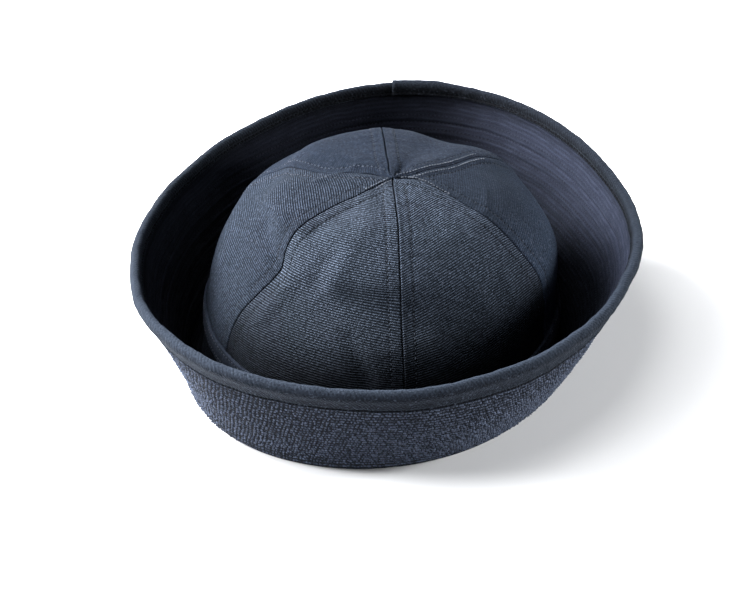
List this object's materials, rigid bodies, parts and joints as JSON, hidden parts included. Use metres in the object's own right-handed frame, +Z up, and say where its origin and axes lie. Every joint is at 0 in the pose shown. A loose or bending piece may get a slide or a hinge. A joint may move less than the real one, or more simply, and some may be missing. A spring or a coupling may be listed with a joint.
{
  "type": "sailor cap",
  "caption": "Soft cotton sailor cap with a domed crown of sewn gores and a stitched brim turned up all round, bound at its edge.",
  "frame": {"origin": "on the resting surface, under the middle of the cap's bounding box", "axes": "+Z up, -Y towards the cap's front, +Y towards the join in the brim's edge binding at the back, +X towards the right as seen from the front"},
  "size_m": [0.2508, 0.2794, 0.104],
  "materials": {
    "crown_cloth": "matte ribbed cotton",
    "band_cloth": "matte cotton",
    "brim_cloth": "matte cotton stitched in rows",
    "binding_cloth": "matte smooth cotton twill"
  },
  "bodies": {
    "root": {"crown_panel_front_left": "crown_cloth", "crown_panel_front_right": "crown_cloth", "crown_panel_left": "crown_cloth", "crown_panel_right": "crown_cloth", "crown_panel_back_left": "crown_cloth", "crown_panel_back_right": "crown_cloth", "crown_foot_band": "band_cloth", "brim_inner_stand": "brim_cloth", "brim": "brim_cloth", "brim_edge_binding": "binding_cloth"}
  },
  "joints": []
}
